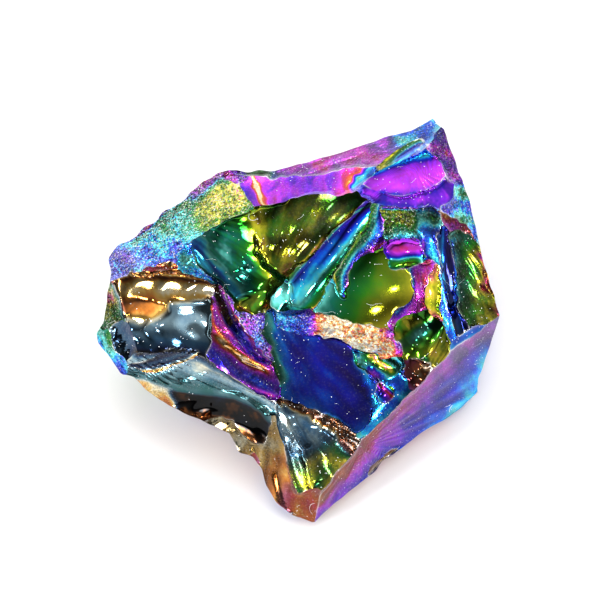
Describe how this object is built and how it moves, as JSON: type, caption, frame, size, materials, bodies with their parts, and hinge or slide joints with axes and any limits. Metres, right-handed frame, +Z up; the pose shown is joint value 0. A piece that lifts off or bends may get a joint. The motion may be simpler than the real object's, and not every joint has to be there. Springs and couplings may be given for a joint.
{
  "type": "rainbow-coated rough obsidian",
  "caption": "Rough lump of volcanic glass with shell-shaped fracture scars, crisp arrises and a metallic rainbow coat, resting on a flat face.",
  "frame": {"origin": "middle of the flat face that the stone rests on", "axes": "+Z up from the resting face, +X along the stone's longest side, -Y towards the low edge of the broken front"},
  "size_m": [0.0671, 0.0616, 0.0377],
  "materials": {
    "rainbow_coat": "gloss"
  },
  "bodies": {
    "root": {"obsidian_chunk": "rainbow_coat"}
  },
  "joints": []
}
